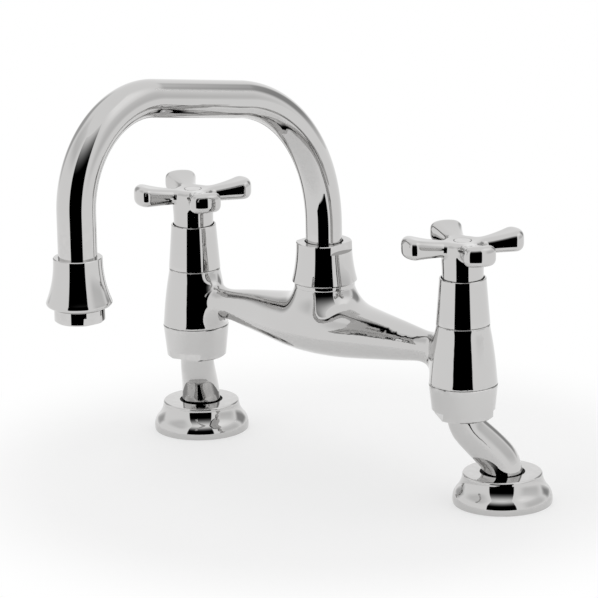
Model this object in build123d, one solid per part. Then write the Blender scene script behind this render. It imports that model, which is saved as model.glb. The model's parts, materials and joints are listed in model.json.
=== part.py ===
from build123d import *
import math
import os

# Bridge kitchen mixer, in millimetres. X runs along the bridge, with the hot side at -X.
# The user stands at -Y, +Z is up, and the origin is on the deck, under the spout's axis.

os.makedirs("parts", exist_ok=True)

# Clearances
running_fit = 0.05  # radial, between a thread or shaft and its bore
loose_fit = 0.3  # radial, between pieces that only pass each other
swivel_play = 0.1  # axial, at a face that turns on another
edge_break = 0.4  # chamfer on turned edges
tolerance = 0.001  # for comparing sizes

# Layout
barrel_spacing = 200.0
union_seam_z = 71.0  # where a barrel meets its union nut
bridge_above_seam = 16.3  # bridge axis above the union seam

# Barrels
barrel_height = 34.3
barrel_foot_radius = 19.3
barrel_top_radius = 15.1
barrel_swell = 0.6  # how far its side stands out halfway up
barrel_neck_radius = 12.7
barrel_neck_height = 5.0
inlet_thread_radius = 13.22  # G3/4 male
inlet_thread_length = 10.0
inlet_bore_radius = 7.0
seat_above_seam = 8.0  # valve seat above the union seam
seat_bore_radius = 4.5
chamber_radius = 9.4
cartridge_thread_radius = 10.43  # G1/2 male
cartridge_thread_length = 16.5

# Bridge and boss
crown_radius = 17.7  # half the bridge's height at its middle
crown_half_length = 27.0
bridge_taper = 8.0  # degrees, from the crown out to each barrel
bridge_spread = 0.42  # how much deeper than high the bridge is at its middle
bridge_spread_reach = 75.0  # where its section is round again
bridge_glance = 20.0  # degrees, how far the line of sight is turned up across the bridge
bridge_stations = (0, 11, 22, 33, 45, 60, 80)  # sections out to each barrel
bridge_root_fillet = 9.0
boss_radius = 16.8
boss_height = 23.5  # bridge axis to the underside of the ledge
boss_flare_radius = 24.0  # where the hollow flare ends
boss_flare_height = 12.6  # ledge down to there
boss_flare_curve = 50.0
boss_skirt_radius = 24.4  # at the bridge's axis, inside the bridge
boss_fillet = 11.0
ledge_radius = 17.3
ledge_height = 2.5
waterway_radius = 6.0
boss_neck_radius = 13.2
boss_neck_height = 11.7

# Spout
tube_radius = 10.4
tube_wall = 1.2
spout_reach = 199.5
spout_rise = 10.4  # degrees, of the straight run between the bends
rear_bend_radius = 85.2
front_bend_radius = 51.3
rear_bend_start = 34.0  # above the ledge
spigot_radius = 8.95
spigot_bore_radius = 5.5
spigot_length = 16.0  # below the collar
spigot_socket_length = 12.0  # up inside the tube
collar_radius = 12.4
collar_height = 2.5
slip_ring_height = 1.0
spout_seal_section = 0.9  # radius of the rubber's section
spout_seal_spread = 6.0

# Spout nut
spout_nut_height = 23.4
spout_nut_foot_radius = 18.6
spout_nut_top_radius = 15.9
spout_nut_waist = 0.7  # how far its side curves in
spout_nut_hole_radius = 11.1
spout_nut_flat_half_width = 12.9
spout_nut_flat_height = 5.0

# Outlet bell and aerator
bell_height = 26.4
bell_top_radius = 13.1
bell_lip_radius = 17.55
bell_lip_height = 2.2
bell_lip_round = 1.8  # how far in the rounded lip meets the flat underside
bell_waist_radius = 14.2  # halfway up
front_drop = 50.2  # end of the front bend to the underside of the bell
outlet_thread_radius = 12.0  # M24 male
outlet_thread_depth = 8.0
tube_shoulder_height = 1.6
aerator_gap = 0.8
aerator_height = 7.4  # visible height
aerator_radius = 13.4
aerator_flat_half_width = 12.1
aerator_flat_height = 4.2
aerator_flat_angle = -11.0  # degrees, direction that one wrench flat faces
aerator_bore_radius = 11.0
aerator_mouth_radius = 9.6
aerator_lip_height = 2.0
aerator_washer_height = 2.0
flow_holes = 5  # across the insert
flow_hole_pitch = 3.2
flow_hole_radius = 1.2
screen_rim = 1.2

# Shroud, cartridge and handle
shroud_height = 26.2
shroud_top_radius = 13.1
shroud_bore_radius = 12.2
gasket_height = 0.7
cartridge_flange_radius = 11.9
cartridge_flange_height = 1.5
cartridge_hex_across = 20.0
cartridge_hex_height = 6.0
cartridge_neck_radius = 7.5
cartridge_neck_height = 6.0
cage_radius = 8.9
cage_wall = 1.3
cage_window_width = 8.0
cage_window_height = 6.0
seat_seal_height = 3.0
disc_height = 3.0
disc_port_radius = 2.0
disc_port_offset = 4.2
drive_height = 2.5
spindle_radius = 4.0
spline_radius = 3.8
spline_length = 13.5
spline_teeth = 20
spline_tooth_depth = 0.4
spindle_seal_section = 0.7
clip_height = 0.8
clip_radius = 6.0
clip_groove_radius = 3.0
hub_radius = 12.6
neck_radius = 11.6
neck_waist_radius = 11.8  # halfway up
hub_top_z = 152.5
hub_depth_in_shroud = 5.0
arm_reach = 35.0
arm_shoulder = 30.5  # where an arm is widest
arm_root_width = 9.6
arm_end_width = 20.0
arm_waist_width = 12.2  # halfway along
arm_end_corner = 5.0
arm_underside = 8.2  # hub top down to the arms' underside at the hub
arm_top_rise = 5.6  # how much higher an arm's end is than the hub
arm_mid_rise = 1.8  # and its top halfway along
arm_underside_rise = 0.8
arm_edge_round = 3.8
crook_fillet = 3.0
handle_turn = 56.6  # degrees, direction of one arm when closed
cap_radius = 4.95
cap_height = 4.0
screw_head_radius = 4.2
screw_head_height = 3.0
screw_radius = 2.5
screw_length = 12.0
screw_web = 2.5
screw_socket_across = 3.0

# Union nut and cranked leg
union_nut_foot_radius = 17.4
union_nut_lip = 4.5
union_nut_flat_half_width = 14.4
union_nut_flat_height = 4.5
union_nut_flat_angles = {"hot": -76.0, "cold": 52.7}  # degrees, direction that one wrench flat faces
union_washer_height = 1.5
leg_collar_height = 2.8
leg_collar_radius = 12.6
leg_top_radius = 9.45
leg_foot_radius = 11.4
leg_bore_radius = 6.5
leg_offset = 22.3
leg_bend_radius = 18.8
leg_bend_angle = 42.8  # degrees
leg_straight_above_foot = 2.5  # nut underside up to where the bend starts
leg_directions = {"hot": 127.6, "cold": 52.4}  # degrees, where each leg cranks to
leg_sections_per_bend = 5
tail_thread_radius = 10.4775  # G1/2 male
tail_length = 50.0
tail_chamfer = 1.2
tail_groove_below_nut = 2.0  # back nut to the groove that parts off the free end's thread
tail_groove_width = 1.5
tail_groove_depth = 1.0

# Deck flange and the fixings under the deck
flange_height = 17.4
flange_foot_radius = 28.0
flange_top_radius = 22.6
flange_turn_radius = 25.9  # where the hollow curve meets the swell
flange_turn_z = 8.2
flange_hollow_radius = 13.7  # of the curve above that point
flange_swell_radius = 9.2  # and of the curve below it
flange_hole_radius = 12.8
flange_wall = 2.6
flange_top_edge = 1.2
flange_seal_height = 3.0
flange_seal_radius = 17.0
deck_thickness = 20.0  # of the deck that the fixings are drawn on
deck_gasket_height = 2.5
deck_gasket_radius = 22.0
deck_washer_height = 2.0
deck_washer_radius = 20.0
back_nut_across = 32.0
back_nut_height = 9.0

# Heights that follow from the sizes above
bridge_z = union_seam_z + bridge_above_seam
shroud_seam_z = union_seam_z + barrel_height
neck_top_z = shroud_seam_z + barrel_neck_height
seat_z = union_seam_z + seat_above_seam
inlet_foot_z = union_seam_z - inlet_thread_length
leg_top_z = inlet_foot_z - union_washer_height - swivel_play
leg_collar_z = leg_top_z - leg_collar_height
union_foot_z = leg_collar_z - swivel_play - union_nut_lip
ledge_z = bridge_z + boss_height + ledge_height
boss_neck_top_z = ledge_z + boss_neck_height
collar_foot_z = boss_neck_top_z + slip_ring_height + swivel_play
collar_top_z = collar_foot_z + collar_height
spout_lip_z = collar_top_z + slip_ring_height + swivel_play
spout_nut_top_z = ledge_z + spout_nut_height
shroud_top_z = shroud_seam_z + shroud_height
cartridge_flange_z = neck_top_z + gasket_height
cartridge_hex_z = cartridge_flange_z + cartridge_flange_height
cartridge_neck_z = cartridge_hex_z + cartridge_hex_height
cartridge_top_z = cartridge_neck_z + cartridge_neck_height
cage_foot_z = seat_z + seat_seal_height / 2
fixed_disc_z = seat_z + seat_seal_height
moving_disc_z = fixed_disc_z + disc_height + running_fit
drive_z = moving_disc_z + disc_height
hub_foot_z = shroud_top_z - hub_depth_in_shroud
spline_foot_z = hub_foot_z - swivel_play
spindle_top_z = spline_foot_z + spline_length
screw_seat_z = spindle_top_z + swivel_play + screw_web
arm_underside_z = hub_top_z - arm_underside
leg_bend_z = union_foot_z + leg_straight_above_foot
deck_underside_z = -deck_thickness
deck_washer_z = deck_underside_z - deck_gasket_height
back_nut_z = deck_washer_z - deck_washer_height

sides = {"hot": -barrel_spacing / 2, "cold": barrel_spacing / 2}
round_share = 1 - math.sqrt(0.5)  # of a rounded corner's size, from the corner to the round's middle


def turned(*edges):
    """Solid turned about Z from the edges of an (r, z) outline."""
    return revolve(Plane.XZ * make_face(Curve() + list(edges)), Axis.Z)


def turned_polygon(*points):
    """Solid turned about Z from the corners of an (r, z) outline."""
    return revolve(Plane.XZ * make_face(Polyline(*points, close=True)), Axis.Z)


def rod(radius, foot, top):
    """Plain cylinder on Z, between two heights."""
    return Pos(0, 0, foot) * Cylinder(radius, top - foot, align=(Align.CENTER, Align.CENTER, Align.MIN))


def ring(inner, outer, foot, top):
    """Plain ring on Z, between two heights."""
    return rod(outer, foot, top) - rod(inner, foot, top)


def seal_ring(groove_radius, section, height):
    """Rubber ring of round section, seated on a groove's floor."""
    return Pos(0, 0, height) * Torus(groove_radius + section, section)


def hexagon_bar(across, foot, top):
    """Hexagonal bar on Z, of a size across its flats."""
    outline = RegularPolygon(across / 2, 6, major_radius=False)
    return Pos(0, 0, foot) * extrude(outline, top - foot)


def wrench_flats(half_width, foot, top, angle):
    """Two blocks that cut parallel wrench flats, the first facing the angle."""
    block = Box(half_width, 4 * half_width, top - foot, align=(Align.MIN, Align.CENTER, Align.MIN))
    pair = Pos(half_width, 0, foot) * block + Pos(-2 * half_width, 0, foot) * block
    return Rot(0, 0, angle) * pair


def save(node, shape):
    """Write one piece to its own file."""
    export_step(shape, "parts/" + node + ".step")


def bridge_radius(x):
    """Half the bridge's height at a distance along it: a crown in the middle, then an even taper."""
    slope = math.radians(bridge_taper)
    crown_curve = crown_half_length / math.sin(slope)
    if x < crown_half_length:
        return crown_radius - crown_curve + math.sqrt(crown_curve**2 - x**2)
    crown_drop = crown_half_length * math.tan(slope / 2)
    return crown_radius - crown_drop - (x - crown_half_length) * math.tan(slope)


def bridge_arms():
    """The bridge itself: oval and swollen in the middle, round and slender at both barrels."""
    half = barrel_spacing / 2
    reaches = sorted({-x for x in bridge_stations} | set(bridge_stations) | {-half, half})
    sections = []
    for x in reaches:
        radius = bridge_radius(abs(x))
        share = min(abs(x) / bridge_spread_reach, 1)
        deep = radius * (1 + bridge_spread * (1 - share**2 * (3 - 2 * share)))
        plane = Plane(origin=(x, 0, bridge_z), x_dir=(0, 0, -1), z_dir=(1, 0, 0))
        sections.append(plane * Ellipse(bridge_height(radius, deep), deep))
    return loft(sections)


def bridge_height(radius, deep):
    """Half the height of an oval section that looks as tall as a round one from the front and above."""
    glance = math.radians(bridge_glance)
    return math.sqrt(radius**2 - (deep * math.sin(glance)) ** 2) / math.cos(glance)


def barrel():
    """Swelling barrel with the neck that the shroud screws on and the thread for the union nut."""
    foot = (barrel_foot_radius, union_seam_z + edge_break)
    top = (barrel_top_radius, shroud_seam_z - edge_break)
    chord = midpoint(foot, top)
    thread = Polyline(
        (0, inlet_foot_z),
        (inlet_thread_radius, inlet_foot_z),
        (inlet_thread_radius, union_seam_z),
        (barrel_foot_radius - edge_break, union_seam_z),
        foot,
    )
    neck = Polyline(
        top,
        (barrel_top_radius - edge_break, shroud_seam_z),
        (barrel_neck_radius, shroud_seam_z),
        (barrel_neck_radius, neck_top_z),
        (0, neck_top_z),
        (0, inlet_foot_z),
    )
    return turned(thread, ThreePointArc(foot, (chord[0] + barrel_swell, chord[1]), top), neck)


def barrel_bores():
    """Inlet, valve seat, chamber and cartridge thread, cut on the barrel's axis."""
    thread_foot = neck_top_z - cartridge_thread_length
    return (
        rod(inlet_bore_radius, inlet_foot_z, seat_z - seat_seal_height)
        + rod(seat_bore_radius, inlet_foot_z, seat_z)
        + rod(chamber_radius, seat_z, thread_foot)
        + rod(cartridge_thread_radius + running_fit, thread_foot, neck_top_z)
    )


def crossing_edges(shape, nearest, farthest):
    """Edges where the bridge crosses an upright piece, between two distances from the middle."""
    found = []
    for edge in shape.edges():
        middle = edge.center()
        if edge.geom_type != GeomType.BSPLINE or edge.length > barrel_spacing / 2:
            continue
        if nearest <= abs(middle.X) < farthest and abs(middle.Z - bridge_z) < crown_radius:
            found.append(edge)
    return found


def boss():
    """Flared boss under the ledge, which the spout's spigot turns in."""
    top = (boss_radius, bridge_z + boss_height)
    flare = (boss_flare_radius, top[1] - boss_flare_height)
    return turned(
        RadiusArc(top, flare, -boss_flare_curve),
        Polyline(flare, (boss_skirt_radius, bridge_z), (0, bridge_z), (0, top[1]), top),
    )


def bridge_body():
    """One casting: two barrels, the bridge between them and the boss for the spout."""
    half = barrel_spacing / 2
    body = bridge_arms() + boss()
    body = fillet(crossing_edges(body, 0, crown_half_length), boss_fillet)
    cold_barrel = Pos(half, 0, 0) * barrel()
    body += cold_barrel
    body += mirror(cold_barrel, about=Plane.YZ)
    roots = crossing_edges(body, half - 2 * barrel_foot_radius, half - barrel_top_radius / 2)
    body = fillet(roots, bridge_root_fillet)
    body += rod(ledge_radius, bridge_z + boss_height, ledge_z)
    body += rod(boss_neck_radius, ledge_z, boss_neck_top_z)
    body -= Pos(0, 0, bridge_z) * Rot(0, 90, 0) * Cylinder(waterway_radius, barrel_spacing)
    body -= rod(spigot_radius + running_fit, bridge_z, boss_neck_top_z)
    for x in sides.values():
        body -= Pos(x, 0, 0) * barrel_bores()
    return body


def shroud():
    """Tapered cover that screws on the barrel's neck and hides the cartridge."""
    neck_bore = barrel_neck_radius + running_fit
    step_z = neck_top_z + loose_fit
    return turned_polygon(
        (neck_bore, shroud_seam_z),
        (barrel_top_radius - edge_break, shroud_seam_z),
        (barrel_top_radius, shroud_seam_z + edge_break),
        (shroud_top_radius, shroud_top_z - edge_break / 2),
        (shroud_top_radius - edge_break / 2, shroud_top_z),
        (shroud_bore_radius, shroud_top_z),
        (shroud_bore_radius, step_z),
        (neck_bore, step_z),
    )


def cartridge_body():
    """Brass body of the ceramic cartridge: cage, thread, flange, hexagon and spindle neck."""
    thread_foot = neck_top_z - cartridge_thread_length + edge_break
    shape = rod(cage_radius, cage_foot_z, thread_foot)
    shape += rod(cartridge_thread_radius, thread_foot, cartridge_flange_z)
    shape += rod(cartridge_flange_radius, cartridge_flange_z, cartridge_hex_z)
    shape += hexagon_bar(cartridge_hex_across, cartridge_hex_z, cartridge_neck_z)
    shape += rod(cartridge_neck_radius, cartridge_neck_z, cartridge_top_z)
    cavity_top = drive_z + drive_height + swivel_play
    shape -= rod(cage_radius - cage_wall, cage_foot_z, cavity_top)
    shape -= rod(spindle_radius + running_fit, cavity_top, cartridge_top_z)
    window = Box(4 * cage_radius, cage_window_width, cage_window_height)
    shape -= Pos(0, 0, drive_z) * window
    return shape


def disc(radius, foot, turn):
    """Ceramic disc with two opposite ports."""
    shape = rod(radius, foot, foot + disc_height)
    for sign in (-1, 1):
        port = rod(disc_port_radius, foot, foot + disc_height)
        shape -= Rot(0, 0, turn) * Pos(sign * disc_port_offset, 0, 0) * port
    return shape


def spindle():
    """Spindle with its drive plate, two seal grooves, a clip groove and a splined, tapped end."""
    groove_floor = spindle_radius - 2 * spindle_seal_section
    shape = rod(cage_radius - cage_wall - loose_fit, drive_z, drive_z + drive_height)
    shape += rod(spindle_radius, drive_z, spline_foot_z)
    for height in spindle_seal_heights():
        gap = spindle_seal_section + running_fit
        shape -= ring(groove_floor, spindle_radius, height - gap, height + gap)
    clip_foot = cartridge_top_z + swivel_play
    shape -= ring(clip_groove_radius, spindle_radius, clip_foot, clip_foot + clip_height)
    shape += spline(spline_radius, spline_foot_z, spindle_top_z)
    shape -= rod(screw_radius + running_fit, spindle_top_z - screw_length, spindle_top_z)
    return shape


def spline(radius, foot, top):
    """Splined bar with straight-sided teeth all round."""
    step = math.pi / spline_teeth
    corners = []
    for index in range(2 * spline_teeth):
        reach = radius - spline_tooth_depth * (index % 2)
        corners.append((reach * math.cos(index * step), reach * math.sin(index * step)))
    return Pos(0, 0, foot) * extrude(make_face(Polyline(*corners, close=True)), top - foot)


def spindle_seal_heights():
    """Heights of the two seals on the spindle."""
    middle = (cartridge_flange_z + drive_z + drive_height) / 2
    return [middle - spindle_radius / 2, middle + spindle_radius / 2]


def spindle_seals():
    """The two rubber rings in the spindle's grooves."""
    floor = spindle_radius - 2 * spindle_seal_section
    rings = [seal_ring(floor, spindle_seal_section, height) for height in spindle_seal_heights()]
    return Compound(children=rings)


def spindle_clip():
    """Open spring clip that holds the spindle down in the cartridge."""
    foot = cartridge_top_z + swivel_play + running_fit
    top = foot + clip_height - 2 * running_fit
    shape = ring(clip_groove_radius + running_fit, clip_radius, foot, top)
    mouth = Pos(clip_radius, 0, foot) * Box(2 * clip_radius, clip_groove_radius, 4 * clip_height)
    return shape - mouth


def handle_outline():
    """Plan of the cross handle: a round hub and four arms that widen to rounded ends."""
    half_root = arm_root_width / 2
    half_end = arm_end_width / 2
    half_waist = arm_waist_width / 2
    waist_at = arm_shoulder / 2
    edges = [
        Line((0, half_root), (0, -half_root)),
        ThreePointArc((0, half_root), (waist_at, half_waist), (arm_shoulder, half_end)),
        ThreePointArc((0, -half_root), (waist_at, -half_waist), (arm_shoulder, -half_end)),
        ThreePointArc((arm_shoulder, half_end), (arm_reach, 0), (arm_shoulder, -half_end)),
    ]
    arm = make_face(Curve() + edges)
    corners = [vertex for vertex in arm.vertices() if abs(vertex.X - arm_shoulder) < tolerance]
    arm = fillet(corners, arm_end_corner)
    plan = Circle(hub_radius)
    for turn in (0, 90, 180, 270):
        plan += Rot(0, 0, turn) * arm
    crooks = [
        vertex
        for vertex in plan.vertices()
        if abs(math.hypot(vertex.X, vertex.Y) - hub_radius) < tolerance
    ]
    return fillet(crooks, crook_fillet)


def handle():
    """Cross handle with a dished top, a neck that drops into the shroud and a splined bore."""
    cap_edge = cap_radius + running_fit
    end_top = hub_top_z + arm_top_rise
    end_foot = arm_underside_z + arm_underside_rise
    mid_reach = (cap_edge + arm_reach) / 2
    mid_top = hub_top_z + arm_mid_rise
    rim = arm_reach + edge_break
    blank_foot = arm_underside_z - edge_break
    blank = Pos(0, 0, blank_foot) * extrude(handle_outline(), end_top + edge_break - blank_foot)
    dish = turned(
        Line((0, arm_underside_z), (0, hub_top_z)),
        Line((0, hub_top_z), (cap_edge, hub_top_z)),
        ThreePointArc((cap_edge, hub_top_z), (mid_reach, mid_top), (rim, end_top)),
        Line((rim, end_top), (rim, end_foot)),
        Line((rim, end_foot), (hub_radius, arm_underside_z)),
        Line((hub_radius, arm_underside_z), (0, arm_underside_z)),
    )
    cross = blank & dish
    cross = fillet([edge for edge in cross.edges() if edge_is_rim(edge)], arm_edge_round)
    neck_rim = (neck_radius, shroud_top_z)
    crook = (hub_radius, arm_underside_z + arm_edge_round)
    waist = (neck_waist_radius, (neck_rim[1] + crook[1]) / 2)
    neck = turned(
        Polyline((0, crook[1]), (0, hub_foot_z), (neck_radius, hub_foot_z), neck_rim),
        ThreePointArc(neck_rim, waist, crook),
        Line(crook, (0, crook[1])),
    )
    shape = cross + neck
    shape -= rod(spline_radius + running_fit, hub_foot_z, spindle_top_z + swivel_play)
    shape -= rod(screw_radius + loose_fit, spindle_top_z, screw_seat_z)
    shape -= rod(screw_head_radius + loose_fit, screw_seat_z, hub_top_z)
    shape -= rod(cap_radius + running_fit, hub_top_z - cap_height, hub_top_z + cap_height)
    return Rot(0, 0, handle_turn) * shape


def edge_is_rim(edge):
    """Whether an edge follows the handle's outline: not upright, and not a circle on the hub's faces."""
    box = edge.bounding_box().size
    if box.Z > box.X and box.Z > box.Y:
        return False
    reaches = [math.hypot(point.X, point.Y) for point in (edge.position_at(0), edge.position_at(1))]
    round_on_axis = edge.geom_type == GeomType.CIRCLE and abs(reaches[0] - reaches[1]) < tolerance
    return not (round_on_axis and reaches[0] < hub_radius - tolerance)


def handle_screw():
    """Socket screw that draws the handle on to the spindle."""
    head_top = screw_seat_z + screw_head_height
    shape = rod(screw_head_radius, screw_seat_z, head_top)
    shape += rod(screw_radius, screw_seat_z - screw_length, screw_seat_z)
    return shape - hexagon_bar(screw_socket_across, screw_seat_z + edge_break, head_top)


def index_cap():
    """Plain cap that closes the screw's hole, flush with the hub."""
    foot = hub_top_z - cap_height
    return turned_polygon(
        (0, foot),
        (cap_radius, foot),
        (cap_radius, hub_top_z - edge_break),
        (cap_radius - edge_break, hub_top_z),
        (0, hub_top_z),
    )


def union_nut(side):
    """Tapered nut that holds the leg's collar up against the barrel."""
    thread_bore = inlet_thread_radius + running_fit
    lip_z = union_foot_z + union_nut_lip
    hole = leg_top_radius + 2 * loose_fit
    shape = turned_polygon(
        (hole, union_foot_z),
        (union_nut_foot_radius - 2 * edge_break, union_foot_z),
        (union_nut_foot_radius, union_foot_z + 2 * edge_break),
        (barrel_foot_radius, union_seam_z - edge_break),
        (barrel_foot_radius - edge_break, union_seam_z),
        (thread_bore, union_seam_z),
        (thread_bore, lip_z),
        (hole, lip_z),
    )
    flat_top = union_foot_z + union_nut_flat_height
    return shape - wrench_flats(
        union_nut_flat_half_width, union_foot_z, flat_top, union_nut_flat_angles[side]
    )


def union_washer():
    """Fibre washer between the leg's collar and the barrel."""
    return ring(inlet_bore_radius, leg_collar_radius, inlet_foot_z - union_washer_height, inlet_foot_z)


def leg_path():
    """Centre line of the cranked part, in a plane whose X is the direction that the leg cranks to."""
    turn = math.radians(leg_bend_angle)
    drop = leg_bend_radius * math.sin(turn)
    shift = leg_bend_radius * (1 - math.cos(turn))
    run = (leg_offset - 2 * shift) / math.sin(turn)
    upper = [(leg_bend_radius * (1 - math.cos(a)), leg_bend_z - leg_bend_radius * math.sin(a), a)
             for a in bend_angles(turn)]
    run_end_x = shift + run * math.sin(turn)
    run_end_z = leg_bend_z - drop - run * math.cos(turn)
    lower = [(run_end_x + leg_bend_radius * (math.cos(a) - math.cos(turn)),
              run_end_z - leg_bend_radius * (math.sin(turn) - math.sin(a)), a)
             for a in reversed(bend_angles(turn))]
    return upper + lower


def bend_angles(turn):
    """Angles of the sections through one bend."""
    return [turn * step / (leg_sections_per_bend - 1) for step in range(leg_sections_per_bend)]


def leg_stretch(top_radius, foot_radius):
    """Solid along the cranked centre line, whose radius changes evenly with height."""
    stations = leg_path()
    top = stations[0][1]
    foot = stations[-1][1]
    sections = []
    for x, z, angle in stations:
        share = (top - z) / (top - foot)
        radius = top_radius + share * (foot_radius - top_radius)
        tangent = (math.sin(angle), 0, -math.cos(angle))
        plane = Plane(origin=(x, 0, z), x_dir=(0, 1, 0), z_dir=tangent)
        sections.append(plane * Circle(radius))
    return loft(sections)


def tail():
    """Tail of thread size that passes through the deck, with a chamfered end."""
    groove_top = back_nut_z - back_nut_height - tail_groove_below_nut
    return turned_polygon(
        (0, 0),
        (tail_thread_radius, 0),
        (tail_thread_radius, groove_top),
        (tail_thread_radius - tail_groove_depth, groove_top),
        (tail_thread_radius - tail_groove_depth, groove_top - tail_groove_width),
        (tail_thread_radius, groove_top - tail_groove_width),
        (tail_thread_radius, tail_chamfer - tail_length),
        (tail_thread_radius - tail_chamfer, -tail_length),
        (0, -tail_length),
    )


def leg(side):
    """Cranked leg: collar, straight top, tapering crank, straight foot and threaded tail."""
    foot_z = leg_path()[-1][1]
    shape = rod(leg_collar_radius, leg_collar_z, leg_top_z)
    shape += rod(leg_top_radius, leg_bend_z, leg_collar_z)
    shape += leg_stretch(leg_top_radius, leg_foot_radius)
    shape += Pos(leg_offset, 0, 0) * (rod(leg_foot_radius, 0, foot_z) + tail())
    shape -= rod(leg_bore_radius, leg_bend_z, leg_top_z)
    shape -= leg_stretch(leg_bore_radius, leg_bore_radius)
    shape -= Pos(leg_offset, 0, 0) * rod(leg_bore_radius, -tail_length, foot_z)
    return Pos(sides[side], 0, 0) * Rot(0, 0, leg_directions[side]) * shape


def at_leg(side, shape):
    """Place a piece that is made on Z on the foot of a leg."""
    return Pos(sides[side], 0, 0) * Rot(0, 0, leg_directions[side]) * Pos(leg_offset, 0, 0) * shape


def midpoint(first, second):
    """Point halfway between two (r, z) points."""
    return ((first[0] + second[0]) / 2, (first[1] + second[1]) / 2)


def flange():
    """Hollow ogee flange that covers the hole in the deck."""
    top_corner = (flange_top_radius - flange_top_edge, flange_height)
    below_corner = (flange_top_radius, flange_height - flange_top_edge)
    turn = (flange_turn_radius, flange_turn_z)
    corner = flange_top_edge * round_share
    round_mid = (flange_top_radius - corner, flange_height - corner)
    inner_top = flange_height - flange_wall
    inner_radius = flange_foot_radius - flange_wall
    inner_neck = flange_top_radius - flange_wall
    return turned(
        Line((flange_hole_radius, flange_height), top_corner),
        ThreePointArc(top_corner, round_mid, below_corner),
        RadiusArc(below_corner, turn, -flange_hollow_radius),
        RadiusArc(turn, (flange_foot_radius, 0), flange_swell_radius),
        Line((flange_foot_radius, 0), (inner_radius, 0)),
        Line((inner_radius, 0), (inner_neck, flange_turn_z)),
        Line((inner_neck, flange_turn_z), (inner_neck, inner_top)),
        Line((inner_neck, inner_top), (flange_hole_radius, inner_top)),
        Line((flange_hole_radius, inner_top), (flange_hole_radius, flange_height)),
    )


def flange_seal():
    """Rubber ring that grips the leg under the flange's top."""
    top = flange_height - flange_wall
    return ring(leg_foot_radius + running_fit, flange_seal_radius, top - flange_seal_height, top)


def back_nut():
    """Hexagonal nut that pulls the leg down on the deck."""
    shape = hexagon_bar(back_nut_across, back_nut_z - back_nut_height, back_nut_z)
    return shape - rod(tail_thread_radius + running_fit, back_nut_z - back_nut_height, back_nut_z)


def spout_path():
    """Centre line of the spout tube, from the collar to its end inside the bell."""
    rise = math.radians(spout_rise)
    bend_start = ledge_z + rear_bend_start
    start = Vector(0, 0, collar_top_z)
    first = Vector(0, 0, bend_start)
    rear_shift = rear_bend_radius * (1 - math.sin(rise))
    second = Vector(0, -rear_shift, bend_start + rear_bend_radius * math.cos(rise))
    run = straight_run()
    third = second + Vector(0, -run, run * math.tan(rise))
    fourth_z = third.Z - front_bend_radius * math.cos(rise)
    fourth = Vector(0, -spout_reach, fourth_z)
    end = Vector(0, -spout_reach, tube_end_z(fourth_z))
    quarter = (math.pi / 2 - rise) / 2
    rear_mid = Vector(0, -rear_bend_radius * (1 - math.cos(quarter)),
                      bend_start + rear_bend_radius * math.sin(quarter))
    swing = (math.pi / 2 + rise) / 2
    front_mid = Vector(0, -spout_reach + front_bend_radius * (1 - math.cos(swing)),
                       fourth_z + front_bend_radius * math.sin(swing))
    return Curve() + [
        Line(start, first),
        ThreePointArc(first, rear_mid, second),
        Line(second, third),
        ThreePointArc(third, front_mid, fourth),
        Line(fourth, end),
    ]


def straight_run():
    """Level distance that the straight run between the bends covers."""
    rise = math.radians(spout_rise)
    bends = rear_bend_radius * (1 - math.sin(rise)) + front_bend_radius * (1 + math.sin(rise))
    return spout_reach - bends


def front_bend_end_z():
    """Height at which the front bend ends and the tube runs straight down."""
    rise = math.radians(spout_rise)
    run = straight_run()
    climb = rear_bend_radius * math.cos(rise) + run * math.tan(rise)
    return ledge_z + rear_bend_start + climb - front_bend_radius * math.cos(rise)


def tube_end_z(bend_end):
    """Height of the tube's lower end, on the shoulder inside the bell."""
    return bend_end - front_drop + outlet_thread_depth + tube_shoulder_height


def spout_tube():
    """Round tube bent twice, open at both ends."""
    path = spout_path()
    start = Plane(origin=(0, 0, collar_top_z), z_dir=(0, 0, 1))
    outer = sweep(start * Circle(tube_radius), path=path)
    inner = sweep(start * Circle(tube_radius - tube_wall), path=path)
    return outer - inner


def spout_spigot():
    """Brass end of the tube: socket, collar and the grooved spigot that turns in the boss."""
    foot = collar_foot_z - spigot_length
    groove_floor = spigot_radius - 2 * spout_seal_section
    shape = rod(spigot_radius, foot, collar_foot_z)
    shape += rod(collar_radius, collar_foot_z, collar_top_z)
    shape += rod(tube_radius - tube_wall - running_fit, collar_top_z, collar_top_z + spigot_socket_length)
    for height in spout_seal_heights():
        gap = spout_seal_section + running_fit
        shape -= ring(groove_floor, spigot_radius, height - gap, height + gap)
    return shape - rod(spigot_bore_radius, foot, collar_top_z + spigot_socket_length)


def spout_seal_heights():
    """Heights of the two seals on the spigot."""
    middle = collar_foot_z - spigot_length / 2
    return [middle - spout_seal_spread / 2, middle + spout_seal_spread / 2]


def spout_seals():
    """The two rubber rings in the spigot's grooves."""
    floor = spigot_radius - 2 * spout_seal_section
    rings = [seal_ring(floor, spout_seal_section, height) for height in spout_seal_heights()]
    return Compound(children=rings)


def slip_ring(shaft_radius, foot, top):
    """Plastic ring that the spout's collar slides on, above or below it."""
    return ring(shaft_radius + loose_fit, collar_radius, foot, top)


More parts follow.
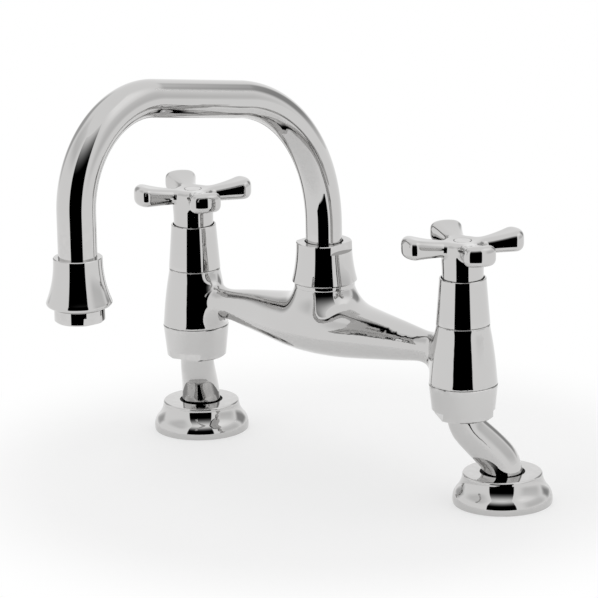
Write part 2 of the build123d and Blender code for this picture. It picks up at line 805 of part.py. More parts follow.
def spout_nut():
    """Flared nut that holds the spout's collar down on the boss."""
    thread_bore = boss_neck_radius + running_fit
    middle_radius = (spout_nut_foot_radius + spout_nut_top_radius) / 2 - spout_nut_waist
    middle_z = (ledge_z + spout_nut_top_z) / 2
    foot = (spout_nut_foot_radius, ledge_z + 2 * edge_break)
    top = (spout_nut_top_radius, spout_nut_top_z - edge_break)
    shape = turned(
        Line((thread_bore, ledge_z), (spout_nut_foot_radius - 2 * edge_break, ledge_z)),
        Line((spout_nut_foot_radius - 2 * edge_break, ledge_z), foot),
        ThreePointArc(foot, (middle_radius, middle_z), top),
        Line(top, (spout_nut_top_radius - edge_break, spout_nut_top_z)),
        Line((spout_nut_top_radius - edge_break, spout_nut_top_z), (spout_nut_hole_radius, spout_nut_top_z)),
        Line((spout_nut_hole_radius, spout_nut_top_z), (spout_nut_hole_radius, spout_lip_z)),
        Line((spout_nut_hole_radius, spout_lip_z), (thread_bore, spout_lip_z)),
        Line((thread_bore, spout_lip_z), (thread_bore, ledge_z)),
    )
    flat_foot = spout_nut_top_z - spout_nut_flat_height
    return shape - wrench_flats(spout_nut_flat_half_width, flat_foot, spout_nut_top_z, 0)


bell_foot_z = front_bend_end_z() - front_drop
bell_top_z = bell_foot_z + bell_height
outlet_shoulder_z = bell_foot_z + outlet_thread_depth
aerator_top_z = outlet_shoulder_z - aerator_washer_height - running_fit
aerator_shoulder_z = bell_foot_z - aerator_gap
aerator_foot_z = aerator_shoulder_z - aerator_height


def outlet_bell():
    """Flared collar on the spout's end, threaded inside for the aerator."""
    tube_seat_z = outlet_shoulder_z + tube_shoulder_height
    lip_mid = (bell_lip_radius, bell_foot_z + bell_lip_height)
    top = (bell_top_radius, bell_top_z - edge_break)
    flare_mid = (bell_waist_radius, bell_foot_z + bell_height / 2)
    lip_foot = (bell_lip_radius - bell_lip_round, bell_foot_z)
    lip_round = (bell_lip_radius - bell_lip_round * round_share, bell_foot_z + bell_lip_height * round_share)
    thread_bore = outlet_thread_radius + running_fit
    seat_bore = tube_radius - tube_wall
    tube_bore = tube_radius + running_fit
    return turned(
        Line((thread_bore, bell_foot_z), lip_foot),
        ThreePointArc(lip_foot, lip_round, lip_mid),
        ThreePointArc(lip_mid, flare_mid, top),
        Line(top, (bell_top_radius - edge_break, bell_top_z)),
        Line((bell_top_radius - edge_break, bell_top_z), (tube_bore, bell_top_z)),
        Line((tube_bore, bell_top_z), (tube_bore, tube_seat_z)),
        Line((tube_bore, tube_seat_z), (seat_bore, tube_seat_z)),
        Line((seat_bore, tube_seat_z), (seat_bore, outlet_shoulder_z)),
        Line((seat_bore, outlet_shoulder_z), (thread_bore, outlet_shoulder_z)),
        Line((thread_bore, outlet_shoulder_z), (thread_bore, bell_foot_z)),
    )


def aerator_housing():
    """Threaded ring that holds the flow insert, with two wrench flats at its foot."""
    shape = turned_polygon(
        (aerator_mouth_radius, aerator_foot_z),
        (aerator_radius - 2 * edge_break, aerator_foot_z),
        (aerator_radius, aerator_foot_z + 2 * edge_break),
        (aerator_radius, aerator_shoulder_z - edge_break),
        (aerator_radius - edge_break, aerator_shoulder_z),
        (outlet_thread_radius, aerator_shoulder_z),
        (outlet_thread_radius, aerator_top_z),
        (aerator_bore_radius, aerator_top_z),
        (aerator_bore_radius, aerator_foot_z + aerator_lip_height),
        (aerator_mouth_radius, aerator_foot_z + aerator_lip_height),
    )
    flat_top = aerator_foot_z + aerator_flat_height
    return shape - wrench_flats(aerator_flat_half_width, aerator_foot_z, flat_top, aerator_flat_angle)


def aerator_insert():
    """Plastic flow insert with a grid of small holes through it."""
    foot = aerator_foot_z + aerator_lip_height + 2 * running_fit
    top = aerator_top_z - running_fit
    shape = rod(aerator_bore_radius - running_fit, foot, top)
    shape -= rod(aerator_bore_radius - 2 * edge_break, foot + aerator_lip_height, top)
    middle = (flow_holes - 1) / 2
    for row in range(flow_holes):
        for column in range(flow_holes):
            x = (row - middle) * flow_hole_pitch
            y = (column - middle) * flow_hole_pitch
            if math.hypot(x, y) + flow_hole_radius < aerator_mouth_radius - edge_break:
                shape -= Pos(x, y, 0) * rod(flow_hole_radius, foot, top)
    return shape


def aerator_screen():
    """Fine screen above the insert's floor, shown as a thin disc with an upturned rim."""
    floor = aerator_foot_z + 2 * aerator_lip_height + 2 * running_fit
    radius = aerator_bore_radius - 2 * edge_break - running_fit
    mesh = rod(radius, floor, floor + edge_break)
    return mesh + ring(radius - edge_break, radius, floor, floor + screen_rim)


def aerator_washer():
    """Rubber washer between the aerator and the shoulder in the bell."""
    outer = outlet_thread_radius - running_fit
    return ring(aerator_mouth_radius, outer, aerator_top_z, outlet_shoulder_z - running_fit)


def at_outlet(shape):
    """Place a piece that is made on Z under the spout's end."""
    return Pos(0, -spout_reach, 0) * shape


def cartridge_gasket():
    """Flat gasket under the cartridge's flange."""
    hole = cartridge_thread_radius + running_fit
    return ring(hole, cartridge_flange_radius, neck_top_z, cartridge_flange_z)


def deck_ring(radius, foot, top):
    """Flat ring on the tail, under the deck."""
    return ring(tail_thread_radius + running_fit, radius, foot, top)


lower_ring_top_z = boss_neck_top_z + slip_ring_height
upper_ring_foot_z = spout_lip_z - slip_ring_height
disc_radius = cage_radius - cage_wall - 2 * running_fit

save("bridge_body", bridge_body())
save("spout_nut", spout_nut())
save("spout_lower_slip_ring", slip_ring(spigot_radius, boss_neck_top_z, lower_ring_top_z))
save("spout_upper_slip_ring", slip_ring(tube_radius, upper_ring_foot_z, spout_lip_z))
save("spout_tube", spout_tube())
save("spout_spigot", spout_spigot())
save("spout_seals", spout_seals())
save("outlet_bell", at_outlet(outlet_bell()))
save("aerator_housing", at_outlet(aerator_housing()))
save("aerator_insert", at_outlet(aerator_insert()))
save("aerator_screen", at_outlet(aerator_screen()))
save("aerator_washer", at_outlet(aerator_washer()))

for side, x in sides.items():
    place = Pos(x, 0, 0)
    save(side + "_shroud", place * shroud())
    save(side + "_cartridge_gasket", place * cartridge_gasket())
    save(side + "_cartridge_body", place * cartridge_body())
    save(side + "_seat_seal", place * ring(seat_bore_radius, disc_radius, seat_z, fixed_disc_z))
    save(side + "_fixed_disc", place * disc(disc_radius, fixed_disc_z, 0))
    save(side + "_moving_disc", place * disc(disc_radius - loose_fit, moving_disc_z, 90))
    save(side + "_spindle", place * spindle())
    save(side + "_spindle_seals", place * spindle_seals())
    save(side + "_spindle_clip", place * spindle_clip())
    save(side + "_handle", place * handle())
    save(side + "_handle_screw", place * handle_screw())
    save(side + "_index_cap", place * index_cap())
    save(side + "_union_nut", place * union_nut(side))
    save(side + "_union_washer", place * union_washer())
    save(side + "_leg", leg(side))
    save(side + "_flange", at_leg(side, flange()))
    save(side + "_flange_seal", at_leg(side, flange_seal()))
    save(side + "_deck_gasket", at_leg(side, deck_ring(deck_gasket_radius, deck_washer_z, deck_underside_z)))
    save(side + "_deck_washer", at_leg(side, deck_ring(deck_washer_radius, back_nut_z, deck_washer_z)))
    save(side + "_back_nut", at_leg(side, back_nut()))
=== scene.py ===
import json
import math

import bmesh
import bpy
from mathutils import Matrix, Vector


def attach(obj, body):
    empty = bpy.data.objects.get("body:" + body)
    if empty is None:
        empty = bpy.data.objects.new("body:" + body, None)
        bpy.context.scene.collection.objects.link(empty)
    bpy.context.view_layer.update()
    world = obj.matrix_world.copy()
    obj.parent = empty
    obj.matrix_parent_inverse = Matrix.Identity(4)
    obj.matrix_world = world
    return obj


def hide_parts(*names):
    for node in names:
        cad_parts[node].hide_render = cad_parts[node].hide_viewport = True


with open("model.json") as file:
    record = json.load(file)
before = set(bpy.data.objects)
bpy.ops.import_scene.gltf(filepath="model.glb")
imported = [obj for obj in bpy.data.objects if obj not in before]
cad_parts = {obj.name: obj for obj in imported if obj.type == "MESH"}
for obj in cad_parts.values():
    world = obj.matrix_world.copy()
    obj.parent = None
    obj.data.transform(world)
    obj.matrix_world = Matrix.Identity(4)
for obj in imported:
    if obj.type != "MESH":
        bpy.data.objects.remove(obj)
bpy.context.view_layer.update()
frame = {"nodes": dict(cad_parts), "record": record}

mm = 0.001
partNodes = frame["nodes"]
bodyOfNode = {node: body for body, nodes in frame["record"]["behaviour"]["bodies"].items() for node in nodes}
slotOfNode = {entry["node"]: entry["material_slot"] for entry in frame["record"]["subparts"]}
print("frame loaded,", len(partNodes), "pieces")


# shader helpers
def addNode(tree, kind, **settings):
    node = tree.nodes.new(kind)
    for name, value in settings.items():
        setattr(node, name, value)
    return node


def feed(tree, value, socket):
    if isinstance(value, bpy.types.NodeSocket):
        tree.links.new(value, socket)
    else:
        socket.default_value = value


def calc(tree, operation, first, second=0.0, third=0.0):
    node = addNode(tree, "ShaderNodeMath", operation=operation)
    for value, socket in zip((first, second, third), node.inputs):
        feed(tree, value, socket)
    return node.outputs[0]


def smoothStep(tree, value, low, high):
    node = addNode(tree, "ShaderNodeMapRange", interpolation_type="SMOOTHSTEP")
    feed(tree, value, node.inputs["Value"])
    feed(tree, low, node.inputs["From Min"])
    feed(tree, high, node.inputs["From Max"])
    return node.outputs["Result"]


def mixColour(tree, share, first, second):
    node = addNode(tree, "ShaderNodeMix", data_type="RGBA")
    feed(tree, share, node.inputs[0])
    feed(tree, first, node.inputs[6])
    feed(tree, second, node.inputs[7])
    return node.outputs[2]


# the camera of the product shot
camera = {
    "azimuth": math.radians(40.84),  # from the front towards the cold side
    "elevation": math.radians(15.5),
    "roll": math.radians(-1.01),
    "distance": 2049.05 * mm,
    "target": (-9.31 * mm, -11.75 * mm, 103.32 * mm),
    "focalPixels": 3598.81,
    "imagePixels": 598,
    "sensor": 36.0,
    "clip": (0.1, 50.0),
}


def makeCamera():
    azimuth, elevation, roll = camera["azimuth"], camera["elevation"], camera["roll"]
    level = math.cos(elevation)
    back = Vector((math.sin(azimuth) * level, -math.cos(azimuth) * level, math.sin(elevation)))
    right = Vector((math.cos(azimuth), math.sin(azimuth), 0))
    up = back.cross(right)
    rolledRight = math.cos(roll) * right + math.sin(roll) * up
    rolledUp = -math.sin(roll) * right + math.cos(roll) * up
    data = bpy.data.cameras.new("shotCamera")
    data.sensor_width = camera["sensor"]
    data.lens = camera["focalPixels"] / camera["imagePixels"] * camera["sensor"]
    data.clip_start, data.clip_end = camera["clip"]
    shooter = bpy.data.objects.new("shotCamera", data)
    turn = Matrix((rolledRight, rolledUp, back)).transposed().to_4x4()
    place = Vector(camera["target"]) + camera["distance"] * back
    shooter.matrix_world = Matrix.Translation(place) @ turn
    bpy.context.scene.collection.objects.link(shooter)
    bpy.context.scene.camera = shooter


# a white room, which the metal shows as the camera does
white = (1.0, 1.0, 1.0, 1.0)


def makeWorld():
    world = bpy.data.worlds.new("whiteRoom")
    bpy.context.scene.world = world
    world.use_nodes = True
    tree = world.node_tree
    tree.nodes.clear()
    glow = addNode(tree, "ShaderNodeBackground")
    glow.inputs["Color"].default_value = white
    output = addNode(tree, "ShaderNodeOutputWorld")
    tree.links.new(glow.outputs[0], output.inputs[0])


# cards that stand round the table, as in a product studio, hidden from the camera
cardDistance = 2.5
cardSteps = 48
# sides in degrees round from the camera's side, heights in degrees up from the table, the height
# from which the tone at the foot turns into the one at the top, and the share of the edges that is soft
cards = {
    "darkCard": {
        "sides": (-38, 31), "heights": (-30, 58), "fade": 24, "foot": 0.0, "top": 0.85, "soft": 0.05,
    },
    "rightFlag": {
        "sides": (112, 160), "heights": (-5, 42), "fade": 20, "foot": 0.35, "top": 0.5, "soft": 0.6,
    },
    "leftFlag": {
        "sides": (-165, -118), "heights": (-5, 42), "fade": 20, "foot": 0.5, "top": 0.6, "soft": 0.6,
    },
    "rightCard": {
        "sides": (40, 118), "heights": (-5, 40), "fade": 10, "foot": 0.75, "top": 0.9, "soft": 0.6,
    },
    "leftCard": {
        "sides": (-125, -40), "heights": (20, 64), "fade": 30, "foot": 0.75, "top": 0.9, "soft": 0.6,
    },
    "softBox": {
        "sides": (30, 130), "heights": (28, 70), "fade": 32, "foot": 1.2, "top": 1.2, "soft": 0.7,
    },
}


def cardHeight(angle):
    return math.tan(math.radians(angle)) * cardDistance


def cardPlace(angle):
    turned = camera["azimuth"] + angle
    return Vector((math.sin(turned), -math.cos(turned), 0)) * cardDistance


def cardCover(tree, look, place, height):
    # whole in the middle of a card, fading out at its edges
    left, right = (math.radians(angle) for angle in look["sides"])
    low, high = (cardHeight(angle) for angle in look["heights"])
    level = addNode(tree, "ShaderNodeVectorMath", operation="MULTIPLY")
    feed(tree, place, level.inputs[0])
    level.inputs[1].default_value = (1, 1, 0)
    away = addNode(tree, "ShaderNodeVectorMath", operation="DISTANCE")
    feed(tree, level.outputs[0], away.inputs[0])
    away.inputs[1].default_value = cardPlace((left + right) / 2)
    reach = 2 * cardDistance * math.sin((right - left) / 4)
    border = look["soft"] * (high - low) / 2
    across = smoothStep(tree, away.outputs["Value"], reach, reach * (1 - look["soft"]))
    upper = smoothStep(tree, height, high, high - border)
    lower = smoothStep(tree, height, low, low + border)
    return calc(tree, "MULTIPLY", across, calc(tree, "MULTIPLY", upper, lower))


def makeCard(name, look):
    left, right = (math.radians(angle) for angle in look["sides"])
    low, high = (cardHeight(angle) for angle in look["heights"])
    foot = cardPlace(left)
    shape = bmesh.new()
    ends = [shape.verts.new(foot + Vector((0, 0, z))) for z in (low, high)]
    edge = shape.edges.new(ends)
    bmesh.ops.spin(
        shape, geom=ends + [edge], cent=(0, 0, 0), axis=(0, 0, 1), angle=right - left, steps=cardSteps,
        use_merge=False
    )
    mesh = bpy.data.meshes.new(name)
    shape.to_mesh(mesh)
    shape.free()
    card = bpy.data.objects.new(name, mesh)
    bpy.context.scene.collection.objects.link(card)
    card.visible_camera = False  # like a lamp, it never stands in a picture
    material = bpy.data.materials.new(name)
    material.use_nodes = True
    material.cycles.emission_sampling = "NONE"
    tree = material.node_tree
    tree.nodes.clear()
    place = addNode(tree, "ShaderNodeTexCoord").outputs["Object"]
    axes = addNode(tree, "ShaderNodeSeparateXYZ")
    feed(tree, place, axes.inputs[0])
    upwards = smoothStep(tree, axes.outputs["Z"], cardHeight(look["fade"]), high)
    tones = [(tone, tone, tone, 1.0) for tone in (look["foot"], look["top"])]
    glow = addNode(tree, "ShaderNodeEmission")
    feed(tree, mixColour(tree, upwards, *tones), glow.inputs["Color"])
    clear = addNode(tree, "ShaderNodeBsdfTransparent")
    faded = addNode(tree, "ShaderNodeMixShader")
    feed(tree, cardCover(tree, look, place, axes.outputs["Z"]), faded.inputs[0])
    tree.links.new(clear.outputs[0], faded.inputs[1])
    tree.links.new(glow.outputs[0], faded.inputs[2])
    output = addNode(tree, "ShaderNodeOutputMaterial")
    tree.links.new(faded.outputs[0], output.inputs[0])
    mesh.materials.append(material)


# the pale table, whose front edge lies just below the picture
floorLook = {
    "half": 3.0,
    "frontEdge": 0.26,
    "thickness": 0.08,  # the front edge hides what is below the table
    "matt": (0.98, 0.98, 0.98, 1.0),
    "shadowShare": 0.5,
    "shadowReach": (0.15, 0.255),  # the shadow fades out before the edge
}


def extrudeRing(shape, ring, shift):
    grown = bmesh.ops.extrude_edge_only(shape, edges=ring)["geom"]
    verts = [item for item in grown if isinstance(item, bmesh.types.BMVert)]
    bmesh.ops.translate(shape, verts=verts, vec=shift)
    return [item for item in grown if isinstance(item, bmesh.types.BMEdge)]


def makeFloor():
    shape = bmesh.new()
    half = floorLook["half"]
    bmesh.ops.create_grid(shape, x_segments=1, y_segments=1, size=half)
    front = [edge for edge in shape.edges if all(vert.co.y < 0 for vert in edge.verts)]
    extrudeRing(shape, front, (0, 0, -floorLook["thickness"]))
    bmesh.ops.translate(shape, verts=shape.verts, vec=(0, half - floorLook["frontEdge"], 0))
    turn = Matrix.Rotation(camera["azimuth"], 3, "Z")
    bmesh.ops.rotate(shape, verts=shape.verts, cent=(0, 0, 0), matrix=turn)
    mesh = bpy.data.meshes.new("studioFloor")
    shape.to_mesh(mesh)
    shape.free()
    floor = bpy.data.objects.new("studioFloor", mesh)
    bpy.context.scene.collection.objects.link(floor)
    material = bpy.data.materials.new("studioFloor")
    material.use_nodes = True
    material.cycles.emission_sampling = "NONE"
    tree = material.node_tree
    tree.nodes.clear()
    glow = addNode(tree, "ShaderNodeEmission")
    glow.inputs["Color"].default_value = white
    matt = addNode(tree, "ShaderNodeBsdfDiffuse")
    matt.inputs["Color"].default_value = floorLook["matt"]
    away = addNode(tree, "ShaderNodeVectorMath", operation="LENGTH")
    feed(tree, addNode(tree, "ShaderNodeTexCoord").outputs["Object"], away.inputs[0])
    near, far = floorLook["shadowReach"]
    nearness = smoothStep(tree, away.outputs["Value"], far, near)
    share = calc(tree, "MULTIPLY", nearness, floorLook["shadowShare"])
    seen = addNode(tree, "ShaderNodeMixShader")
    feed(tree, share, seen.inputs[0])
    tree.links.new(glow.outputs[0], seen.inputs[1])
    tree.links.new(matt.outputs[0], seen.inputs[2])
    side = addNode(tree, "ShaderNodeNewGeometry")
    under = addNode(tree, "ShaderNodeBsdfTransparent")
    whole = addNode(tree, "ShaderNodeMixShader")
    feed(tree, side.outputs["Backfacing"], whole.inputs[0])
    tree.links.new(seen.outputs[0], whole.inputs[1])
    tree.links.new(under.outputs[0], whole.inputs[2])
    output = addNode(tree, "ShaderNodeOutputMaterial")
    tree.links.new(whole.outputs[0], output.inputs[0])
    mesh.materials.append(material)


bpy.context.scene.view_settings.view_transform = "Standard"
makeCamera()
makeWorld()
makeFloor()
for cardName, cardLook in cards.items():
    makeCard(cardName, cardLook)
print("studio ready")


# shared effects, as shader groups
def newGroup(name, takes, gives):
    group = bpy.data.node_groups.new(name, "ShaderNodeTree")
    for label, value in takes.items():
        group.interface.new_socket(label, in_out="INPUT", socket_type="NodeSocketFloat").default_value = value
    for label in gives:
        group.interface.new_socket(label, in_out="OUTPUT", socket_type="NodeSocketFloat")
    return group, addNode(group, "NodeGroupInput"), addNode(group, "NodeGroupOutput")


def objectNoise(tree, scale, detail, roughness=0.5):
    coordinate = addNode(tree, "ShaderNodeTexCoord")
    noise = addNode(tree, "ShaderNodeTexNoise")
    feed(tree, coordinate.outputs["Object"], noise.inputs["Vector"])
    feed(tree, scale, noise.inputs["Scale"])
    noise.inputs["Detail"].default_value = detail
    noise.inputs["Roughness"].default_value = roughness
    return noise.outputs["Fac"]


grainLook = {"patchDetail": 2.0, "grainDetail": 3.0, "grainRoughness": 0.6, "middle": 0.5}


def makeGrainGroup():
    # broad tone changes, fine grain and a height for bumps
    start = {"Patch Size": 60.0, "Grain Size": 900.0, "Patch": 0.5, "Grain": 0.5}
    group, takes, gives = newGroup("surfaceGrain", start, ("Tone", "Height"))
    middle = grainLook["middle"]
    patch = objectNoise(group, takes.outputs["Patch Size"], grainLook["patchDetail"])
    grain = objectNoise(
        group, takes.outputs["Grain Size"], grainLook["grainDetail"], grainLook["grainRoughness"]
    )
    patchPart = calc(group, "MULTIPLY", calc(group, "SUBTRACT", patch, middle), takes.outputs["Patch"])
    grainPart = calc(group, "MULTIPLY", calc(group, "SUBTRACT", grain, middle), takes.outputs["Grain"])
    tone = calc(group, "ADD", calc(group, "ADD", patchPart, grainPart), middle)
    feed(group, tone, gives.inputs["Tone"])
    feed(group, grain, gives.inputs["Height"])
    return group


wearLook = {
    "sharpFrom": 0.52, "wholeFrom": 0.53, "breakDetail": 4.0, "breakRoughness": 0.6, "breaks": (0.42, 0.62),
}


def makeWearGroup():
    # edges that stand out, broken up by noise
    start = {"Spread": 0.03, "Breaks": 220.0, "Amount": 1.0}
    group, takes, gives = newGroup("edgeWear", start, ("Mask",))
    geometry = addNode(group, "ShaderNodeNewGeometry")
    sharpest = calc(group, "ADD", takes.outputs["Spread"], wearLook["wholeFrom"])
    sharp = smoothStep(group, geometry.outputs["Pointiness"], wearLook["sharpFrom"], sharpest)
    noise = objectNoise(
        group, takes.outputs["Breaks"], wearLook["breakDetail"], wearLook["breakRoughness"]
    )
    broken = smoothStep(group, noise, *wearLook["breaks"])
    worn = calc(group, "MULTIPLY", calc(group, "MULTIPLY", sharp, broken), takes.outputs["Amount"])
    feed(group, worn, gives.inputs["Mask"])
    return group


touchLook = {
    "smearDetail": 5.0, "smearRoughness": 0.62, "smear": (0.5, 0.72),
    "dotScale": 18.0, "dotDetail": 2.0, "dots": (0.66, 0.72), "dotShare": 0.5,
}


def makeTouchGroup():
    # faint hand smudges and dry water marks
    group, takes, gives = newGroup("handMarks", {"Size": 32.0, "Amount": 1.0}, ("Mask",))
    size = takes.outputs["Size"]
    broad = objectNoise(group, size, touchLook["smearDetail"], touchLook["smearRoughness"])
    fineSize = calc(group, "MULTIPLY", size, touchLook["dotScale"])
    specks = objectNoise(group, fineSize, touchLook["dotDetail"])
    smear = smoothStep(group, broad, *touchLook["smear"])
    dots = smoothStep(group, specks, *touchLook["dots"])
    both = calc(group, "MAXIMUM", smear, calc(group, "MULTIPLY", dots, touchLook["dotShare"]))
    feed(group, calc(group, "MULTIPLY", both, takes.outputs["Amount"]), gives.inputs["Mask"])
    return group


grainGroup = makeGrainGroup()
wearGroup = makeWearGroup()
touchGroup = makeTouchGroup()


def useGroup(tree, group, **values):
    node = addNode(tree, "ShaderNodeGroup", node_tree=group)
    for label, value in values.items():
        feed(tree, value, node.inputs[label])
    return node


# what each finish is made of: colours, roughness from and to, grain and wear
finishLook = {
    "chrome": {
        "colour": (0.565, 0.56, 0.555), "other": (0.59, 0.585, 0.58), "worn": (0.64, 0.635, 0.63),
        "metallic": 1.0, "rough": (0.018, 0.05), "patchSize": 45.0, "grainSize": 1400.0,
        "patch": 0.7, "grain": 0.3, "bump": 0.012, "wear": 0.5, "marks": 0.35,
    },
    "cast_chrome": {
        "colour": (0.56, 0.555, 0.55), "other": (0.59, 0.585, 0.58), "worn": (0.64, 0.635, 0.63),
        "metallic": 1.0, "rough": (0.028, 0.06), "patchSize": 38.0, "grainSize": 900.0,
        "patch": 0.8, "grain": 0.4, "bump": 0.02, "wear": 0.5, "marks": 0.4,
    },
    "brass": {
        "colour": (0.62, 0.44, 0.20), "other": (0.78, 0.60, 0.32), "worn": (0.90, 0.74, 0.46),
        "metallic": 1.0, "rough": (0.2, 0.42), "patchSize": 160.0, "grainSize": 1600.0,
        "patch": 1.2, "grain": 0.8, "bump": 0.15, "wear": 1.0, "marks": 0.6,
    },
    "steel": {
        "colour": (0.44, 0.44, 0.45), "other": (0.58, 0.58, 0.57), "worn": (0.72, 0.72, 0.71),
        "metallic": 1.0, "rough": (0.2, 0.4), "patchSize": 140.0, "grainSize": 1800.0,
        "patch": 1.0, "grain": 0.9, "bump": 0.15, "wear": 1.0, "marks": 0.5,
    },
    "rubber": {
        "colour": (0.012, 0.012, 0.013), "other": (0.03, 0.03, 0.031), "worn": (0.07, 0.07, 0.07),
        "metallic": 0.0, "rough": (0.5, 0.72), "patchSize": 220.0, "grainSize": 2600.0,
        "patch": 0.9, "grain": 1.0, "bump": 0.3, "wear": 0.7, "marks": 0.6,
    },
    "fibre": {
        "colour": (0.30, 0.07, 0.045), "other": (0.46, 0.14, 0.09), "worn": (0.55, 0.24, 0.17),
        "metallic": 0.0, "rough": (0.6, 0.85), "patchSize": 300.0, "grainSize": 3200.0,
        "patch": 1.0, "grain": 1.4, "bump": 0.4, "wear": 0.8, "marks": 0.4,
    },
    "ceramic": {
        "colour": (0.80, 0.79, 0.76), "other": (0.88, 0.875, 0.85), "worn": (0.92, 0.92, 0.9),
        "metallic": 0.0, "rough": (0.12, 0.24), "patchSize": 260.0, "grainSize": 2400.0,
        "patch": 0.6, "grain": 0.8, "bump": 0.05, "wear": 0.5, "marks": 0.3,
    },
    "slip_plastic": {
        "colour": (0.74, 0.74, 0.71), "other": (0.84, 0.84, 0.82), "worn": (0.9, 0.9, 0.88),
        "metallic": 0.0, "rough": (0.3, 0.5), "patchSize": 200.0, "grainSize": 2200.0,
        "patch": 0.8, "grain": 0.8, "bump": 0.15, "wear": 0.7, "marks": 0.4,
    },
    "flow_plastic": {
        "colour": (0.06, 0.06, 0.064), "other": (0.1, 0.1, 0.106), "worn": (0.2, 0.2, 0.2),
        "metallic": 0.0, "rough": (0.3, 0.5), "patchSize": 240.0, "grainSize": 2400.0,
        "patch": 0.9, "grain": 0.9, "bump": 0.2, "wear": 0.8, "marks": 0.6,
    },
}
wornDulling = 0.8
bumpDepth = 0.1 * mm


def newFinish(name, look):
    material = bpy.data.materials.new(name)
    material.use_nodes = True
    tree = material.node_tree
    shader = tree.nodes["Principled BSDF"]
    shader.inputs["Metallic"].default_value = look["metallic"]
    grain = useGroup(tree, grainGroup, **{
        "Patch Size": look["patchSize"], "Grain Size": look["grainSize"],
        "Patch": look["patch"], "Grain": look["grain"],
    })
    wear = useGroup(tree, wearGroup, Amount=look["wear"])
    marks = useGroup(tree, touchGroup, Amount=look["marks"])
    colour = mixColour(tree, grain.outputs["Tone"], (*look["colour"], 1), (*look["other"], 1))
    colour = mixColour(tree, wear.outputs["Mask"], colour, (*look["worn"], 1))
    feed(tree, colour, shader.inputs["Base Color"])
    smooth, dull = look["rough"]
    wornDull = calc(tree, "MULTIPLY", wear.outputs["Mask"], wornDulling)
    dulling = calc(tree, "MAXIMUM", marks.outputs["Mask"], wornDull)
    rough = calc(tree, "MULTIPLY_ADD", dulling, dull - smooth, smooth)
    feed(tree, rough, shader.inputs["Roughness"])
    bump = addNode(tree, "ShaderNodeBump")
    bump.inputs["Strength"].default_value = look["bump"]
    bump.inputs["Distance"].default_value = bumpDepth
    feed(tree, grain.outputs["Height"], bump.inputs["Height"])
    tree.links.new(bump.outputs[0], shader.inputs["Normal"])
    return material


finishes = {name: newFinish(name, look) for name, look in finishLook.items()}
print("finishes ready")


# pieces
mergeWithin = 0.002 * mm
creaseFrom = 32  # degrees between faces, from which an edge stays sharp
relaxFactor = 0.5


def mergedCopy(node):
    shape = bmesh.new()
    shape.from_mesh(partNodes[node].data)
    bmesh.ops.remove_doubles(shape, verts=shape.verts, dist=mergeWithin)
    return shape


def addPiece(name, shape, node):
    for face in shape.faces:
        face.smooth = True
    mesh = bpy.data.meshes.new(name)
    shape.to_mesh(mesh)
    shape.free()
    piece = bpy.data.objects.new(name, mesh)
    bpy.context.scene.collection.objects.link(piece)
    mesh.materials.append(finishes[slotOfNode[node]])
    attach(piece, bodyOfNode[node])
    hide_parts(node)
    return piece


def creaseEdges(shape, sharpAngle):
    for edge in shape.edges:
        if len(edge.link_faces) == 2:
            edge.smooth = edge.calc_face_angle() < math.radians(sharpAngle)


def dressNode(node):
    # the node's own shape, merged and shaded smoothly
    shape = mergedCopy(node)
    creaseEdges(shape, creaseFrom)
    addPiece("dressed_" + node, shape, node)


def evenMesh(shape, voxel):
    # the same form in small even faces
    mesh = bpy.data.meshes.new("rough")
    shape.to_mesh(mesh)
    shape.free()
    holder = bpy.data.objects.new("rough", mesh)
    bpy.context.scene.collection.objects.link(holder)
    remesh = holder.modifiers.new("even", "REMESH")
    remesh.mode = "VOXEL"
    remesh.voxel_size = voxel
    remesh.adaptivity = 0.0
    depsgraph = bpy.context.evaluated_depsgraph_get()
    even = bmesh.new()
    even.from_mesh(holder.evaluated_get(depsgraph).to_mesh())
    holder.evaluated_get(depsgraph).to_mesh_clear()
    bpy.data.objects.remove(holder)
    bpy.data.meshes.remove(mesh)
    return even


def relax(shape, keep, rounds):
    moving = [vert for vert in shape.verts if not keep(vert.co / mm)]
    for count in range(rounds):
        bmesh.ops.smooth_vert(
            shape, verts=moving, factor=relaxFactor, use_axis_x=True, use_axis_y=True, use_axis_z=True
        )


# the cast bridge, with its boss and barrels flowing into each other
bridge = {
    "voxel": 0.8 * mm,
    "barrelAt": 100.0,
    "barrelReach": 25.0,
    "barrelBore": 14.2,
    "seams": (71.9, 104.4),
    "axisZ": 87.3,
    "waterway": 8.5,
    "bossBore": 14.6,
    "ledgeUnder": 110.4,
    "rounds": 106,
    "bossRounds": 5,  # more at each step nearer the boss
    "bossReaches": (78.0, 72.0, 66.0, 60.0, 54.0),
}


def keptOnBridge(point):
    # its bores and the seats of other pieces aren't smoothed
    fromBarrel = math.hypot(abs(point.x) - bridge["barrelAt"], point.y)
    fromMiddle = math.hypot(point.x, point.y)
    fromAxis = math.hypot(point.y, point.z - bridge["axisZ"])
    if fromBarrel < bridge["barrelBore"]:
        return True
    if fromAxis < bridge["waterway"] and abs(point.x) < bridge["barrelAt"]:
        return True
    low, high = bridge["seams"]
    if abs(point.x) > bridge["barrelAt"] - bridge["barrelReach"] and not low < point.z < high:
        return True
    return point.z > bridge["ledgeUnder"] or (fromMiddle < bridge["bossBore"] and point.z > bridge["axisZ"])


def keptBeyond(reach):
    def kept(point):
        return keptOnBridge(point) or math.hypot(point.x, point.y) > reach

    return kept


def makeBridge():
    shape = evenMesh(mergedCopy("bridge_body"), bridge["voxel"])
    relax(shape, keptOnBridge, bridge["rounds"])
    for reach in bridge["bossReaches"]:
        relax(shape, keptBeyond(reach), bridge["bossRounds"])
    addPiece("bridge_casting", shape, "bridge_body")


makeBridge()

# the turned ledge that the spout's nut stands on
ledge = {
    "inner": 13.3, "outer": 17.32, "foot": 110.78, "top": 113.3, "edge": 0.3, "edgeSteps": 4, "steps": 128,
    "creaseFrom": 40,
}


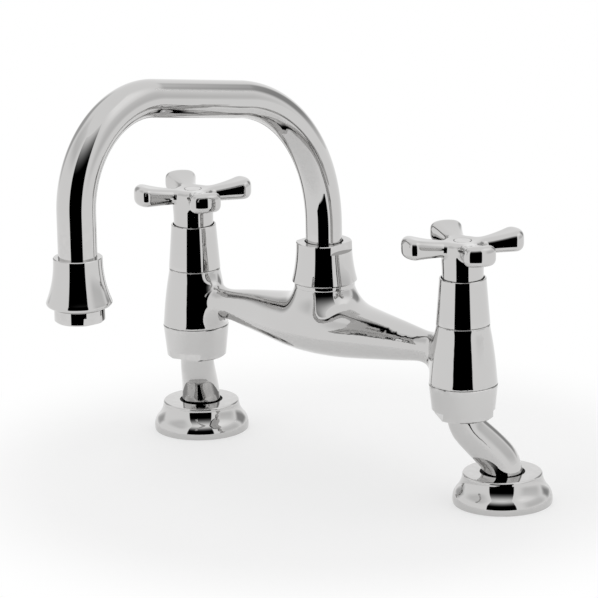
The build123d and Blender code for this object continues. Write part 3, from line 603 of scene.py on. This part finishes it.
def makeLedge():
    shape = bmesh.new()
    corners = [(ledge["inner"], ledge["foot"]), (ledge["outer"], ledge["foot"]),
               (ledge["outer"], ledge["top"]), (ledge["inner"], ledge["top"])]
    verts = [shape.verts.new((r * mm, 0, z * mm)) for r, z in corners]
    for first, second in zip(verts, verts[1:] + verts[:1]):
        shape.edges.new((first, second))
    bmesh.ops.bevel(
        shape, geom=verts[1:3], affect="VERTICES", offset=ledge["edge"] * mm, segments=ledge["edgeSteps"],
        profile=0.5, material=-1
    )
    bmesh.ops.spin(
        shape, geom=shape.verts[:] + shape.edges[:], cent=(0, 0, 0), axis=(0, 0, 1), angle=2 * math.pi,
        steps=ledge["steps"], use_merge=True
    )
    bmesh.ops.remove_doubles(shape, verts=shape.verts, dist=mergeWithin)
    bmesh.ops.recalc_face_normals(shape, faces=shape.faces)
    creaseEdges(shape, ledge["creaseFrom"])
    addPiece("boss_ledge", shape, "bridge_body")


makeLedge()
print("bridge cast")

# cross handles, softened all over but for the hole of the cap and the foot of the neck
handles = {"voxel": 0.46 * mm, "rounds": 16, "capHole": 6.0, "neckFoot": 131.5}


def makeHandle(side, middle):
    def kept(point):
        reach = math.hypot(point.x - middle, point.y)
        return reach < handles["capHole"] or point.z < handles["neckFoot"]

    node = side + "_handle"
    shape = evenMesh(mergedCopy(node), handles["voxel"])
    relax(shape, kept, handles["rounds"])
    addPiece("cross_" + node, shape, node)


makeHandle("hot", -bridge["barrelAt"])
makeHandle("cold", bridge["barrelAt"])
print("handles shaped")

# the spout's tube, bent twice
spout = {
    "radius": 10.4, "wall": 1.2, "foot": 128.6, "bendStart": 147.3, "reach": 199.5,
    "rise": math.radians(10.4), "rearBend": 85.2, "frontBend": 51.3, "drop": 40.6, "sides": 128,
    "bendSteps": 96,
}


def bendRing(shape, ring, middle, angle, steps):
    bent = bmesh.ops.spin(
        shape, geom=ring, cent=middle, axis=(1, 0, 0), angle=angle, steps=steps, use_merge=False
    )
    return [item for item in bent["geom_last"] if isinstance(item, bmesh.types.BMEdge)]


def makeTube():
    shape = bmesh.new()
    rise = spout["rise"]
    ring = bmesh.ops.create_circle(shape, segments=spout["sides"], radius=spout["radius"] * mm)["verts"]
    bmesh.ops.translate(shape, verts=ring, vec=(0, 0, spout["foot"] * mm))
    ring = shape.edges[:]
    ring = extrudeRing(shape, ring, (0, 0, (spout["bendStart"] - spout["foot"]) * mm))
    middle = Vector((0, -spout["rearBend"], spout["bendStart"])) * mm
    ring = bendRing(shape, ring, middle, math.pi / 2 - rise, spout["bendSteps"])
    bends = spout["rearBend"] * (1 - math.sin(rise)) + spout["frontBend"] * (1 + math.sin(rise))
    run = spout["reach"] - bends
    ring = extrudeRing(shape, ring, (0, -run * mm, run * math.tan(rise) * mm))
    climb = spout["rearBend"] * math.cos(rise) + run * math.tan(rise)
    frontZ = spout["bendStart"] + climb - spout["frontBend"] * math.cos(rise)
    middle = Vector((0, -spout["reach"] + spout["frontBend"], frontZ)) * mm
    ring = bendRing(shape, ring, middle, math.pi / 2 + rise, spout["bendSteps"])
    extrudeRing(shape, ring, (0, 0, -spout["drop"] * mm))
    bmesh.ops.recalc_face_normals(shape, faces=shape.faces)
    for edge in shape.edges:
        edge.smooth = not edge.is_boundary
    piece = addPiece("spout_pipe", shape, "spout_tube")
    wall = piece.modifiers.new("wall", "SOLIDIFY")
    wall.thickness = spout["wall"] * mm
    wall.offset = -1.0


makeTube()
print("spout bent")

shaped = {"bridge_body", "hot_handle", "cold_handle", "spout_tube"}
for node in sorted(set(partNodes) - shaped):
    dressNode(node)
print("pieces dressed")
